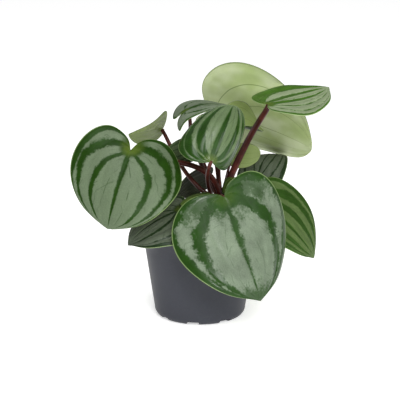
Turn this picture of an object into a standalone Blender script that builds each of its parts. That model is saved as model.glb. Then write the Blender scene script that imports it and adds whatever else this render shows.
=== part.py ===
"""Watermelon peperomia in a nursery pot: pot, potting soil, branching stems and one solid for each leaf.

Metres, +Z up. The origin is the middle of the pot's foot, on the surface that the pot stands on.
-Y is the front, the side towards which the largest leaf hangs.
"""

import math
from dataclasses import dataclass

import bmesh
import bpy
import numpy as np
from mathutils import Matrix, Vector

# ---------------------------------------------------------------- driving dimensions
GAP = 0.0003                 # clearance between two pieces that touch

POT_HEIGHT = 0.070
POT_FOOT_RADIUS = 0.0305     # outer edge of the flat foot ring
POT_FOOT_WIDTH = 0.0035      # how wide the foot ring is
POT_FOOT_RISE = 0.0025       # the floor stands this much above the surface
POT_CORNER_RADIUS = 0.0359   # outer radius where the wall leaves the rounded corner
POT_CORNER_HEIGHT = 0.0065
POT_SLOPE = 0.148            # outward lean of the wall, radius gained for each unit of height
POT_WALL = 0.0011
POT_LIP_DEPTH = 0.0045       # height of the turned-out lip
POT_LIP_REACH = 0.0016       # how far the lip stands out from the wall
POT_EDGE_EASE = 0.0007       # how far its sharp edges are eased
POT_RIM_FLAT = 0.6           # share of the wall that the flat of the rim covers
POT_SIDES = 48
DRAIN_HOLES = 6
DRAIN_RADIUS = 0.0035
DRAIN_CIRCLE = 0.019
NOTCHES = 8                  # gates in the foot ring that let water out
NOTCH_WIDTH = 0.010
NOTCH_HEIGHT = 0.0028
NOTCH_INNER = 0.0262         # radii that a gate runs between
NOTCH_OUTER = 0.0375
NOTCH_TURN = math.radians(-100)

SOIL_TOP = 0.062             # mean height of the soil
SOIL_LUMP = 0.0012           # how far its lumps rise and fall
SOIL_BASE_RADIUS = 0.0265    # of its flat underside
SOIL_SIDE_FOOT = 0.008       # height where its side begins
SOIL_UNDER_ROOT = 0.001      # depth of its hole below the root
SOIL_RINGS = 5
SOIL_SIDES = 36

CROWN_X = 0.016              # the plant is not quite central in its pot
CROWN_Y = 0.010
CROWN_TOP = 0.091
CROWN_RADIUS = 0.0040
CROWN_ROOT = 0.046           # the stem's lower end, inside the soil
CROWN_SIDES = 12
CROWN_RINGS = (              # height of each ring, and its girth as a share of the crown's
    (CROWN_ROOT, 0.8),
    (SOIL_TOP - 0.004, 1.3),
    (SOIL_TOP + 0.006, 1.15),
    (CROWN_TOP - 0.010, 1.0),
    (CROWN_TOP - 0.002, 1.05),
    (CROWN_TOP + 0.001, 0.6),
)
SOIL_HOLE = CROWN_RADIUS * 1.5 + 0.0006
SOIL_WALL_GAP = 4 * GAP      # the wall is faceted, so the soil stays further from it

BLADE = 0.0009               # thickness of a leaf blade
ROWS = 12                    # rows of cells from petiole to tip, closer together at the lobes
ROWS_SMALL = 9
VEINS = 4                    # main veins on each half of a leaf, the midrib left out
BELLY = 0.2                  # how far the widest place lies towards the lobes
SINUS_NARROWING = 0.6        # share of its width that a blade loses where its lobes meet
SINUS_SPAN = 0.05            # along how much of the blade it does so
LOBE_SPAN = 0.13
TIP_NARROWING = 0.3
TIP_SPAN = 0.13
POINT_SPAN = 0.05
PETIOLE_TAPER = 0.75         # radius under the blade, as a share of that at the crown
PETIOLE_SEAT = 0.15          # it stops this share of its radius further below a curved blade
PETIOLE_SIDES = 6
PETIOLE_STEPS = 8


# ---------------------------------------------------------------- the leaves
@dataclass(frozen=True)
class Leaf:
    """One leaf: where its blade meets its petiole, how the blade lies, its outline and its bends.

    The blade's length runs along its midrib. Heading 0 points along +X and 90 along +Y. Pitch lifts the
    tip, and roll lifts the left half, as seen from the petiole. Angles are in degrees, lengths in metres.
    """

    name: str
    place: tuple
    heading: float
    pitch: float
    roll: float
    length: float
    width: float
    lobe: float = 0.010        # how far the two lobes reach back behind the petiole
    lobe_skew: float = 0.0     # the left lobe reaches this much further, the right one less
    skew: float = 0.0          # share by which the left half is wider
    point: float = 0.0         # how far the tip is drawn out
    cup: tuple = (5, 5)        # downward curl of the left and right halves, for each 10 mm of width
    droop: float = 10          # downward bend along the midrib
    curl: float = 5            # more of it, near the tip
    back: float = 0            # upward bend of the lobes
    twist: float = 0           # turn about the midrib, from petiole to tip
    bend: float = 0            # sideways bend of the midrib, as a share of the length
    wave: float = 0.0          # height of the waves in the margin
    puff: float = 0.0          # height of the blade between two veins
    petiole: float = 0.0015    # radius of the petiole where it leaves the crown
    base: float = 0.087        # height at which the petiole leaves the crown
    rise: float = 0.020        # how far it runs up from the crown before it leans over
    spread: float = 0.5        # how much it heads outwards as it does so
    swing: float = 0           # degrees by which it sets off to the left of its leaf
    reach: float = 0.020       # how far it runs straight before it meets the blade
    lean: float = 0.6          # 0: it arrives along the midrib, 1: square to the blade
    crowd: float = 1.4         # above 1, the rows of cells lie closer together at the lobes
    fine: int = 2              # cells across between two veins


LEAVES = (
    Leaf("leaf_front", (0.018, -0.047, 0.105), -51, -58, 18, 0.078, 0.102, 0.013, 0.004, 0.06,
         point=0.0035, cup=(6, 9), droop=5, curl=8, twist=-25, bend=0.02, wave=0.0008, puff=0.0008,
         petiole=0.0022, base=0.080, rise=0.016, spread=1.0, reach=0.012, lean=0.6),
    Leaf("leaf_left", (-0.0530, -0.018, 0.134), -111, -38, -18, 0.063, 0.087, 0.023, 0.003, 0.03,
         point=0.0015, cup=(7, 3), droop=32, curl=8, twist=25, bend=0.04, wave=0.0006, puff=0.0007,
         petiole=0.0023, base=0.088, rise=0.055, spread=0.4, swing=62, reach=0.029, lean=0.9),
    Leaf("leaf_middle", (0.0087, -0.034, 0.1303), 54, 54, 45, 0.0555, 0.056, 0.0055, 0.0014, 0.20,
         crowd=1.3, cup=(20, 36), droop=36, curl=-4, back=32, twist=-16, bend=-0.05, puff=0.0010,
         petiole=0.0019, base=0.080, rise=0.026, spread=0.7, swing=-45, reach=0.012, lean=0.3),
    Leaf("leaf_high_left", (-0.0101, 0.012, 0.160), 5, 25, 8, 0.031, 0.028, 0.0147, -0.0015, 0.25,
         cup=(-5, 16), droop=43, curl=-13, back=33, twist=-16, puff=0.0004,
         petiole=0.0018, base=0.088, rise=0.069, spread=0.6, swing=-13, reach=0.018, lean=1, fine=1),
    Leaf("leaf_high_right", (0.0210, 0.022, 0.153), 30, -36, -145, 0.031, 0.042, 0.004,
         point=0.001, cup=(25, 60), droop=45, curl=-6, twist=-23, bend=0.14,
         petiole=0.0014, base=0.088, rise=0.004, spread=0, swing=-75, reach=0.015, lean=0, fine=1),
    Leaf("leaf_top", (0.013, 0.0615, 0.1487), -12, -10, -49, 0.082, 0.100, 0.0175, 0.003, -0.20,
         cup=(-3, -3), droop=7, curl=4, back=-30, bend=0.12, wave=0.0006, puff=0.0005,
         petiole=0.0020, rise=0.045, reach=0.020, lean=0.8),
    Leaf("leaf_upper_right", (0.0518, -0.020, 0.1702), 16, 2, 4, 0.050, 0.069, 0.007, 0.002, 0.01,
         point=0.0025, cup=(-2, 0), droop=-2, curl=-25, twist=4, bend=0.15, wave=0.0008, puff=0.0007,
         petiole=0.0028, base=0.088, rise=0.064, spread=0.6, swing=84, reach=0.010, lean=0.7),
    Leaf("leaf_lower_right", (0.0435, 0.008, 0.093), -35, -32, 17, 0.065, 0.067, 0.010, 0.0, 0.13,
         point=0.003, cup=(0, 5), droop=19, curl=21, twist=-25, bend=0.12, wave=0.0006, puff=0.0007,
         petiole=0.0018, base=0.076, rise=0.012, spread=1.0, reach=0.010, lean=0.5),
    Leaf("leaf_small_right", (0.027, 0.026, 0.122), 5, 6, -80, 0.021, 0.021, 0.006, 0.0, 0.12,
         petiole=0.0012, rise=0.014, reach=0.008, fine=1),
    Leaf("leaf_back_right", (0.0455, 0.038, 0.0935), 75, 62, -12, 0.050, 0.042, 0.008,
         cup=(9, 9), droop=72, curl=20, puff=0.0005,
         petiole=0.0016, base=0.072, rise=0.006, spread=2.0, reach=0.008, lean=0.4, fine=1),
    Leaf("leaf_lower_left", (-0.015, -0.020, 0.0885), -148, -11, -20, 0.048, 0.062, 0.010, -0.003, 0.08,
         point=0.0025, cup=(7, 11), droop=26, curl=14, twist=22, wave=0.0008, puff=0.0007,
         petiole=0.0018, base=0.076, rise=0.008, spread=1.0, reach=0.010, lean=0.5),
    Leaf("leaf_back_left", (-0.0307, 0.040, 0.1392), 240, -15, 62, 0.041, 0.033, 0.007, -0.001, 0.35,
         point=0.001, cup=(-5, 0), droop=-17, curl=-20, back=-34, twist=-26, bend=0.25, puff=0.0004,
         petiole=0.0019, base=0.088, rise=0.035, spread=2.2, swing=46, reach=0.005, lean=0.9, fine=1),
    Leaf("leaf_small_left", (-0.003, 0.0045, 0.1295), 190, -15, -65, 0.026, 0.020, 0.005, 0.0, -0.30,
         cup=(8, 8), droop=20, petiole=0.0012, rise=0.020, reach=0.010, fine=1),
    Leaf("leaf_young", (0.025, -0.002, 0.109), -95, -20, 0, 0.018, 0.021, 0.004,
         cup=(80, 80), droop=20, petiole=0.0010, rise=0.008, reach=0.004, fine=1),
    Leaf("leaf_small_front", (0.004, -0.024, 0.1005), 190, -8, -10, 0.020, 0.020, 0.005,
         cup=(15, 15), droop=20, petiole=0.0010, base=0.083, rise=0.006, reach=0.005, fine=1),
    Leaf("leaf_shaded", (0.007, 0.038, 0.101), 190, -20, 50, 0.030, 0.034, 0.006, 0.0, 0.20,
         cup=(7, 7), droop=20, puff=0.0005, petiole=0.0013, rise=0.006, spread=2.0,
         reach=0.008, lean=0.9, fine=1),
    Leaf("leaf_back", (0.010, 0.050, 0.080), 100, -38, 0, 0.050, 0.056, 0.011,
         cup=(7, 7), droop=26, puff=0.0006, petiole=0.0016, base=0.070, rise=0.004, spread=2.0,
         reach=0.012, lean=0.5, fine=1),
)


def margin(leaf, side, along):
    """How far forward and how far out the leaf's edge is, along 0 at the petiole to 1 at the tip."""
    turn = np.pi * along
    out = 0.5 * leaf.width * np.sin(turn) ** 0.8 * (1 + BELLY * np.cos(turn))
    out = out * (1 - SINUS_NARROWING * np.exp(-((along / SINUS_SPAN) ** 2)))
    out = out * (1 - TIP_NARROWING * np.exp(-(((1 - along) / TIP_SPAN) ** 2)))
    swell = along / LOBE_SPAN * np.exp(1 - along / LOBE_SPAN)
    forward = midrib(leaf, along) - (leaf.lobe + side * leaf.lobe_skew) * swell
    return forward, out * (1 + side * leaf.skew)


def midrib(leaf, along):
    """Distance from the petiole along the midrib."""
    drawn_out = leaf.point * np.exp((along - 1) / POINT_SPAN)
    return leaf.length * (0.5 - 0.5 * np.cos(np.pi * along)) ** 1.06 + drawn_out


def axes(leaf):
    """The blade's own directions: to the tip, to its left and up out of its upper side."""
    heading, pitch, roll = (math.radians(a) for a in (leaf.heading, leaf.pitch, leaf.roll))
    level_share = math.cos(pitch)
    tip = np.array((level_share * math.cos(heading), level_share * math.sin(heading), math.sin(pitch)))
    level = np.array((-math.sin(heading), math.cos(heading), 0.0))
    left = level * math.cos(roll) + np.cross(tip, level) * math.sin(roll)
    return np.stack((tip, left, np.cross(tip, left)))


def blade_points(leaf, across, along):
    """Points of the middle of the blade. across is -1 and 1 on the two edges and 0 on the midrib."""
    side = np.where(across >= 0, 1.0, -1.0)
    edge, out = margin(leaf, side, along)
    share = np.abs(across) ** 1.7
    forward = (1 - share) * midrib(leaf, along) + share * edge
    out = np.abs(across) * out
    bow = np.radians(np.where(across >= 0, leaf.cup[0], leaf.cup[1])) / 0.010
    bow = np.where(np.abs(bow) < 0.01, 0.01, bow)
    y = side * np.sin(bow * out) / bow
    z = (np.cos(bow * out) - 1) / bow
    z = z + leaf.puff * np.sin(np.pi * VEINS * across) ** 2 * np.sin(np.pi * along) ** 0.7
    z = z + leaf.wave * share * np.sin(4 * np.pi * along + side) * np.sin(np.pi * along)
    turn = np.radians(leaf.twist) * forward / leaf.length
    y, z = y * np.cos(turn) - z * np.sin(turn), y * np.sin(turn) + z * np.cos(turn)
    y = y + leaf.bend * forward ** 2 / leaf.length
    x, drop, slope = arched(leaf, forward / leaf.length)
    local = np.stack((x - z * np.sin(slope), y, drop + z * np.cos(slope)), axis=-1)
    return local @ axes(leaf) + np.array(leaf.place)


def arched(leaf, share):
    """The midrib as it droops: forward, height and slope at a share of the leaf's length."""
    steps = np.linspace(-0.7, 1.05, 71)
    slope = -np.radians(leaf.droop) * steps - np.radians(leaf.curl) * np.clip(steps, 0, 2) ** 3
    slope = slope - np.radians(leaf.back) * np.clip(steps, -1, 0)
    pace = leaf.length * (steps[1] - steps[0])
    run = np.concatenate(((0,), np.cumsum((np.cos(slope[1:]) + np.cos(slope[:-1])) / 2))) * pace
    rise = np.concatenate(((0,), np.cumsum((np.sin(slope[1:]) + np.sin(slope[:-1])) / 2))) * pace
    run = run - np.interp(0, steps, run)
    rise = rise - np.interp(0, steps, rise)
    return np.interp(share, steps, run), np.interp(share, steps, rise), np.interp(share, steps, slope)


# ---------------------------------------------------------------- Blender helpers
def clear_scene():
    for old in list(bpy.data.objects):
        bpy.data.objects.remove(old, do_unlink=True)


def material(name, color, roughness):
    made = bpy.data.materials.new(name)
    made.use_nodes = True
    shader = made.node_tree.nodes["Principled BSDF"]
    shader.inputs["Base Color"].default_value = (*color, 1)
    shader.inputs["Roughness"].default_value = roughness
    shader.inputs["Metallic"].default_value = 0
    return made


def finish_object(name, bm, coat, smooth=True):
    mesh = bpy.data.meshes.new(name)
    bm.to_mesh(mesh)
    bm.free()
    if smooth:
        mesh.shade_smooth()
        mesh.set_sharp_from_angle(angle=math.radians(40))
    mesh.materials.append(coat)
    made = bpy.data.objects.new(name, mesh)
    bpy.context.collection.objects.link(made)
    return made


def bridge_rings(bm, rings, closed_ends=True):
    """Skin a list of rings of points, each with as many points, and close the first and the last."""
    loops = [[bm.verts.new(point) for point in ring] for ring in rings]
    for low, high in zip(loops, loops[1:]):
        for i in range(len(low)):
            j = (i + 1) % len(low)
            bm.faces.new((low[i], low[j], high[j], high[i]))
    if closed_ends:
        bm.faces.new(list(reversed(loops[0])))
        bm.faces.new(loops[-1])
    bmesh.ops.recalc_face_normals(bm, faces=bm.faces)


def apply_modifiers(thing):
    """Keep the evaluated mesh and drop the modifiers."""
    bpy.context.view_layer.update()
    evaluated = thing.evaluated_get(bpy.context.evaluated_depsgraph_get())
    mesh = bpy.data.meshes.new_from_object(evaluated)
    thing.modifiers.clear()
    thing.data = mesh


# ---------------------------------------------------------------- pot
def wall_radius(height):
    """Outer radius of the pot's wall."""
    return POT_CORNER_RADIUS + POT_SLOPE * (height - POT_CORNER_HEIGHT)


def pot_profile():
    """Outline of the wall's section, from the foot up the outside and down the inside."""
    lean = math.atan(POT_SLOPE)
    top = wall_radius(POT_HEIGHT)
    foot_in = POT_FOOT_RADIUS - POT_FOOT_WIDTH
    points = [(foot_in, 0), (POT_FOOT_RADIUS, 0)]
    for k in range(1, 5):
        turn = math.radians(90) * k / 4
        points.append((POT_FOOT_RADIUS + (POT_CORNER_RADIUS - POT_FOOT_RADIUS) * math.sin(turn),
                       POT_CORNER_HEIGHT * (1 - math.cos(turn))))
    points.append((wall_radius(POT_HEIGHT - POT_LIP_DEPTH), POT_HEIGHT - POT_LIP_DEPTH))
    points.append((top + POT_LIP_REACH, POT_HEIGHT - POT_LIP_DEPTH + POT_LIP_REACH))
    points.append((top + POT_LIP_REACH, POT_HEIGHT - POT_EDGE_EASE))
    points.append((top + POT_LIP_REACH - POT_EDGE_EASE, POT_HEIGHT))
    points.append((top - POT_WALL * POT_RIM_FLAT, POT_HEIGHT))
    inner = POT_WALL / math.cos(lean)
    points.append((top - inner, POT_HEIGHT - POT_EDGE_EASE))
    floor = POT_FOOT_RISE + POT_WALL
    points.append((wall_radius(POT_CORNER_HEIGHT) - inner - POT_EDGE_EASE, POT_CORNER_HEIGHT))
    points.append((POT_FOOT_RADIUS, floor + POT_EDGE_EASE))
    points.append((foot_in, floor))
    points.append((0, floor))
    points.append((0, POT_FOOT_RISE))
    points.append((foot_in - POT_EDGE_EASE, POT_FOOT_RISE))
    return points


def cutter(name, bm):
    mesh = bpy.data.meshes.new(name)
    bm.to_mesh(mesh)
    bm.free()
    made = bpy.data.objects.new(name, mesh)
    bpy.context.collection.objects.link(made)
    made.hide_render = True
    made.display_type = "WIRE"
    return made


def drain_cutters():
    """Round holes through the floor and gates through the foot ring, in one cutting mesh."""
    bm = bmesh.new()
    for k in range(DRAIN_HOLES):
        turn = 2 * math.pi * (k + 0.5) / DRAIN_HOLES
        place = Matrix.Rotation(turn, 4, "Z") @ Matrix.Translation((DRAIN_CIRCLE, 0, POT_FOOT_RISE))
        bmesh.ops.create_cone(bm, cap_ends=True, segments=12, radius1=DRAIN_RADIUS, radius2=DRAIN_RADIUS,
                              depth=4 * POT_WALL, matrix=place)
    for k in range(NOTCHES):
        turn = NOTCH_TURN + 2 * math.pi * k / NOTCHES
        middle = (NOTCH_INNER + NOTCH_OUTER) / 2
        place = Matrix.Rotation(turn, 4, "Z") @ Matrix.Translation((middle, 0, 0))
        size = Matrix.Diagonal((NOTCH_OUTER - NOTCH_INNER, NOTCH_WIDTH, 2 * NOTCH_HEIGHT, 1))
        bmesh.ops.create_cube(bm, size=1, matrix=place @ size)
    return cutter("drain_cutter", bm)


def make_pot(coat):
    bm = bmesh.new()
    profile = [bm.verts.new((r, 0, z)) for r, z in pot_profile()]
    edges = [bm.edges.new(pair) for pair in zip(profile, profile[1:] + profile[:1])]
    bmesh.ops.spin(bm, geom=profile + edges, axis=(0, 0, 1), cent=(0, 0, 0), steps=POT_SIDES,
                   angle=2 * math.pi, use_merge=False, use_duplicate=False)
    bmesh.ops.remove_doubles(bm, verts=bm.verts, dist=0.000001)
    bmesh.ops.dissolve_degenerate(bm, edges=bm.edges, dist=0.000001)
    loose = [e for e in bm.edges if not e.link_faces]
    bmesh.ops.delete(bm, geom=loose, context="EDGES")
    bmesh.ops.recalc_face_normals(bm, faces=bm.faces)
    pot = finish_object("pot", bm, coat)
    cut = pot.modifiers.new("drainage", "BOOLEAN")
    cut.operation = "DIFFERENCE"
    cut.object = drain_cutters()
    return pot


# ---------------------------------------------------------------- soil
def inner_radius(height):
    """Radius of the soil where it meets the inside of the wall."""
    return wall_radius(height) - POT_WALL / math.cos(math.atan(POT_SLOPE)) - SOIL_WALL_GAP


def soil_height(x, y):
    """Lumpy top of the soil."""
    lump = math.sin(260 * x + 1.3) * math.cos(230 * y) + 0.5 * math.sin(610 * x - 420 * y)
    return SOIL_TOP + SOIL_LUMP * lump


def make_soil(coat):
    """A plug that fills the pot, with a plain hole for the stem."""
    turns = [2 * math.pi * k / SOIL_SIDES for k in range(SOIL_SIDES)]
    around = [(math.cos(a), math.sin(a)) for a in turns]
    crown = [(CROWN_X + SOIL_HOLE * c, CROWN_Y + SOIL_HOLE * s) for c, s in around]
    rim = inner_radius(SOIL_TOP)
    wall = [(rim * c, rim * s) for c, s in around]
    floor = CROWN_ROOT - SOIL_UNDER_ROOT
    rings = [[(x, y, floor) for x, y in crown]]
    for k in range(SOIL_RINGS + 1):
        share = (k / SOIL_RINGS) ** 0.9
        ring = [(a[0] + (b[0] - a[0]) * share, a[1] + (b[1] - a[1]) * share) for a, b in zip(crown, wall)]
        rings.append([(x, y, soil_height(x, y)) for x, y in ring])
    side = inner_radius(SOIL_SIDE_FOOT)
    foot = POT_FOOT_RISE + POT_WALL + 2 * GAP
    rings.append([(side * c, side * s, SOIL_SIDE_FOOT) for c, s in around])
    rings.append([(SOIL_BASE_RADIUS * c, SOIL_BASE_RADIUS * s, foot) for c, s in around])
    bm = bmesh.new()
    bridge_rings(bm, rings)
    return finish_object("soil", bm, coat)


# ---------------------------------------------------------------- stems
def petiole_route(leaf):
    """Smooth route from inside the crown to just under the blade, as points and radii."""
    tip, left, up = axes(leaf)
    arrive = tip * (1 - leaf.lean) + up * leaf.lean
    arrive = arrive / np.linalg.norm(arrive)
    slant = math.sqrt(max(0.0, 1 - float(np.dot(arrive, up)) ** 2))
    top = leaf.petiole * PETIOLE_TAPER
    end = np.array(leaf.place) - up * (BLADE / 2 + 2 * GAP + top * (slant + PETIOLE_SEAT))
    start = np.array((CROWN_X, CROWN_Y, leaf.base))
    outward = end - start
    outward[2] = 0
    outward = outward / (np.linalg.norm(outward) + 1e-6)
    turn = math.radians(leaf.swing)
    outward = outward * math.cos(turn) + np.array((-outward[1], outward[0], 0.0)) * math.sin(turn)
    climb = np.array((0, 0, 1)) + leaf.spread * outward
    climb = climb / np.linalg.norm(climb)
    p1 = start + climb * leaf.rise
    p2 = end - arrive * leaf.reach
    points = []
    radii = []
    for k in range(PETIOLE_STEPS + 1):
        f = k / PETIOLE_STEPS
        g = 1 - f
        points.append(g ** 3 * start + 3 * g * g * f * p1 + 3 * g * f * f * p2 + f ** 3 * end)
        radii.append(leaf.petiole * (1 - (1 - PETIOLE_TAPER) * f))
    return points, radii


def tube_rings(points, radii, sides):
    """Rings round a route, turned as little as possible from one to the next."""
    rings = []
    across = None
    for k, (centre, radius) in enumerate(zip(points, radii)):
        ahead = Vector(points[min(k + 1, len(points) - 1)]) - Vector(points[max(k - 1, 0)])
        ahead.normalize()
        if across is None:
            across = ahead.orthogonal()
        across = (across - ahead * across.dot(ahead)).normalized()
        other = ahead.cross(across)
        ring = []
        for i in range(sides):
            turn = 2 * math.pi * i / sides
            ring.append(Vector(centre) + (across * math.cos(turn) + other * math.sin(turn)) * radius)
        rings.append(ring)
    return rings


def make_stems(coat):
    """The short upright stem and every petiole, grown together."""
    middle = [(CROWN_X, CROWN_Y, height) for height, _ in CROWN_RINGS]
    bm = bmesh.new()
    bridge_rings(bm, tube_rings(middle, [CROWN_RADIUS * girth for _, girth in CROWN_RINGS], CROWN_SIDES))
    stems = finish_object("stems", bm, coat)
    parts = bpy.data.collections.new("petioles")
    for leaf in LEAVES:
        bm = bmesh.new()
        bridge_rings(bm, tube_rings(*petiole_route(leaf), PETIOLE_SIDES))
        petiole = finish_object("petiole_of_" + leaf.name, bm, coat)
        bpy.context.collection.objects.unlink(petiole)
        parts.objects.link(petiole)
    join = stems.modifiers.new("grown together", "BOOLEAN")
    join.operation = "UNION"
    join.operand_type = "COLLECTION"
    join.collection = parts
    join.solver = "EXACT"
    join.use_self = True
    apply_modifiers(stems)
    for petiole in list(parts.objects):
        bpy.data.objects.remove(petiole, do_unlink=True)
    bpy.data.collections.remove(parts)
    return stems


# ---------------------------------------------------------------- leaves
def make_leaf(leaf, coat):
    """The blade as a sheet of triangles, ribbed between its veins, then given its thickness."""
    cells = VEINS * leaf.fine
    across = np.linspace(-1, 1, 2 * cells + 1)
    along = np.linspace(0, 1, (ROWS if leaf.fine > 1 else ROWS_SMALL) + 1) ** leaf.crowd
    bm = bmesh.new()
    foot = bm.verts.new(blade_points(leaf, np.array(0.0), np.array(0.0)))
    rows = []
    for t in along[1:-1]:
        points = blade_points(leaf, across, np.full_like(across, t))
        rows.append([bm.verts.new(point) for point in points])
    tip = bm.verts.new(blade_points(leaf, np.array(0.0), np.array(1.0)))
    for a, b in zip(rows[0], rows[0][1:]):
        bm.faces.new((foot, a, b))
    for low, high in zip(rows, rows[1:]):
        for i in range(len(low) - 1):
            bm.faces.new((low[i], high[i], high[i + 1]))
            bm.faces.new((low[i], high[i + 1], low[i + 1]))
    for a, b in zip(rows[-1], rows[-1][1:]):
        bm.faces.new((a, tip, b))
    made = finish_object(leaf.name, bm, coat)
    thick = made.modifiers.new("blade", "SOLIDIFY")
    thick.thickness = BLADE
    thick.offset = 0
    split = made.modifiers.new("triangles", "TRIANGULATE")
    split.quad_method = "FIXED"
    return made


def main():
    clear_scene()
    plastic = material("pot_plastic", (0.055, 0.060, 0.068), 0.45)
    earth = material("potting_soil", (0.020, 0.014, 0.009), 0.95)
    stalk = material("stem_red", (0.075, 0.012, 0.014), 0.40)
    green = material("leaf_green", (0.110, 0.180, 0.085), 0.40)
    make_pot(plastic)
    make_soil(earth)
    make_stems(stalk)
    for leaf in LEAVES:
        make_leaf(leaf, green)


main()
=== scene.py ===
"""Looks of a young watermelon peperomia in a small nursery pot.

Lengths are in metres, +Z is up and the origin is the middle of the pot's foot. -Y is the front.
"""

import logging
import math
import random
from collections.abc import Iterator
from contextlib import contextmanager
from dataclasses import dataclass, field
from enum import Enum

import bpy
import numpy as np
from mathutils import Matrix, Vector


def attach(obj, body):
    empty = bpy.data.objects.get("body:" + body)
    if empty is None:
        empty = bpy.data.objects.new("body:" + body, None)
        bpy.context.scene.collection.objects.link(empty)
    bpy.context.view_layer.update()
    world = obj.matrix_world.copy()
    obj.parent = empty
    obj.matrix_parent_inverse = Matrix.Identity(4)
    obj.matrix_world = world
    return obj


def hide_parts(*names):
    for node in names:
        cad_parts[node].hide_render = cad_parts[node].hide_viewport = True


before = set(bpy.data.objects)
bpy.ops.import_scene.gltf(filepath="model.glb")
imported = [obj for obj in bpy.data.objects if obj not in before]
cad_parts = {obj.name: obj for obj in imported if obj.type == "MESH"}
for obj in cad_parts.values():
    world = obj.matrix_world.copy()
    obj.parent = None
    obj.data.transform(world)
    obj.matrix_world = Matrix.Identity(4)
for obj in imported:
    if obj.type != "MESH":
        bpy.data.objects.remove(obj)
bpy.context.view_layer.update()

BODY = "root"
LOG = logging.getLogger("potted_peperomia")
WELD = 0.000002
CROWD = 1.25  # power by which the rows of a blade crowd towards its stalk
ROUNDNESS = 0.8  # power that rounds a blade's outline
FAINT_VEIN = 0.52  # place of the faint vein as a share of the first band's

Flat = tuple[float, float]
Point = tuple[float, float, float]
Color = tuple[float, float, float]


# ---------------------------------------------------------------- modelling helpers
def deselect() -> None:
    """Leaves object mode ready for a new primitive, with nothing selected."""
    if bpy.context.object is not None and bpy.context.object.mode != "OBJECT":
        bpy.ops.object.mode_set(mode="OBJECT")
    bpy.ops.object.select_all(action="DESELECT")


def focus(piece: bpy.types.Object) -> None:
    """Makes one piece the only selected and the active one.

    Args:
        piece: The piece to work on.
    """
    deselect()
    piece.select_set(True)
    bpy.context.view_layer.objects.active = piece


def settle(piece: bpy.types.Object) -> None:
    """Puts a piece's place, turn and scale into its mesh, so that its object sits at the origin."""
    focus(piece)
    bpy.ops.object.transform_apply(location=True, rotation=True, scale=True)


def apply_all(piece: bpy.types.Object) -> None:
    """Applies every modifier of a piece in order.

    Args:
        piece: The piece whose modifiers are applied.
    """
    focus(piece)
    for modifier in list(piece.modifiers):
        bpy.ops.object.modifier_apply(modifier=modifier.name)


@contextmanager
def shaping() -> Iterator[None]:
    """Edit mode on the active piece, with all of it selected.

    Yields:
        Nothing. The piece goes back to object mode afterwards.
    """
    bpy.ops.object.mode_set(mode="EDIT")
    bpy.ops.mesh.select_all(action="SELECT")
    yield
    bpy.ops.object.mode_set(mode="OBJECT")


def weld() -> None:
    """Joins points that coincide in the whole mesh and points its faces outwards."""
    bpy.ops.mesh.select_all(action="SELECT")
    bpy.ops.mesh.remove_doubles(threshold=WELD)
    bpy.ops.mesh.select_all(action="SELECT")
    bpy.ops.mesh.normals_make_consistent(inside=False)


def dress(piece: bpy.types.Object, *finishes: object) -> None:
    """Gives a piece its materials in order, in place of any it had.

    Args:
        piece: The piece.
        finishes: Finishes with a name and a make method.
    """
    piece.data.materials.clear()
    for finish in finishes:
        piece.data.materials.append(bpy.data.materials.get(finish.name) or finish.make())


def join(pieces: list[bpy.types.Object], name: str) -> bpy.types.Object:
    """Joins several pieces into one.

    Args:
        pieces: The pieces, the first of which stays.
        name: Name of the joined piece.

    Returns:
        The joined piece.
    """
    focus(pieces[0])
    for piece in pieces[1:]:
        piece.select_set(True)
    bpy.ops.object.join()
    pieces[0].name = name
    return pieces[0]


def lathe(name: str, profile: list[Flat], middle: Flat, steps: int) -> bpy.types.Object:
    """Turns an outline round an upright axis.

    Args:
        name: Name of the new piece.
        profile: Points of the outline as radius and height, from bottom to top on the outside.
        middle: X and Y of the axis.
        steps: Number of steps in a full turn.

    Returns:
        The turned piece, closed, with its faces pointing outwards.
    """
    deselect()
    bpy.ops.mesh.primitive_plane_add(size=0.001, location=(0, 0, 0))
    piece = bpy.context.object
    piece.name = name
    radius, height = profile[0]
    with shaping():
        bpy.ops.mesh.merge(type="CENTER")
        bpy.ops.transform.translate(value=(middle[0] + radius, middle[1], height))
        for (r0, z0), (r1, z1) in zip(profile, profile[1:]):
            bpy.ops.mesh.extrude_region_move(TRANSFORM_OT_translate={"value": (r1 - r0, 0, z1 - z0)})
        bpy.ops.mesh.select_all(action="SELECT")
        bpy.ops.mesh.spin(steps=steps, angle=2 * math.pi, center=(*middle, 0), axis=(0, 0, 1))
        weld()
    return piece


def tube(name: str, ends: tuple[Point, ...], radii: Flat) -> bpy.types.Object:
    """A round stalk along one smooth curve.

    Args:
        name: Name of the new piece.
        ends: Start, the handle it leaves along, the handle it arrives along, and end.
        radii: Radius at the start and at the end.

    Returns:
        The stalk as a closed mesh.
    """
    deselect()
    bpy.ops.curve.primitive_bezier_curve_add(location=(0, 0, 0))
    curve = bpy.context.object
    curve.data.bevel_depth = radii[0]
    curve.data.bevel_resolution = 3
    curve.data.resolution_u = 22
    curve.data.use_fill_caps = True
    first, last = curve.data.splines[0].bezier_points
    for knot, place, before, after in (
        (first, ends[0], ends[0], ends[1]),
        (last, ends[3], ends[2], ends[3]),
    ):
        knot.handle_left_type = knot.handle_right_type = "FREE"
        knot.co = place
        knot.handle_left = before
        knot.handle_right = after
    last.radius = radii[1] / radii[0]
    bpy.ops.object.convert(target="MESH")
    piece = bpy.context.object
    piece.name = name
    with shaping():
        weld()
    bpy.ops.object.shade_smooth()
    return piece


def hand_over(piece: bpy.types.Object, node: str) -> bpy.types.Object:
    """Ties a finished piece to the frame.

    Args:
        piece: The finished piece.
        node: The plain solid that it stands for.

    Returns:
        The same piece.
    """
    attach(piece, BODY)
    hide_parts(node)
    LOG.info("%s: %d faces", piece.name, len(piece.data.polygons))
    return piece


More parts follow.
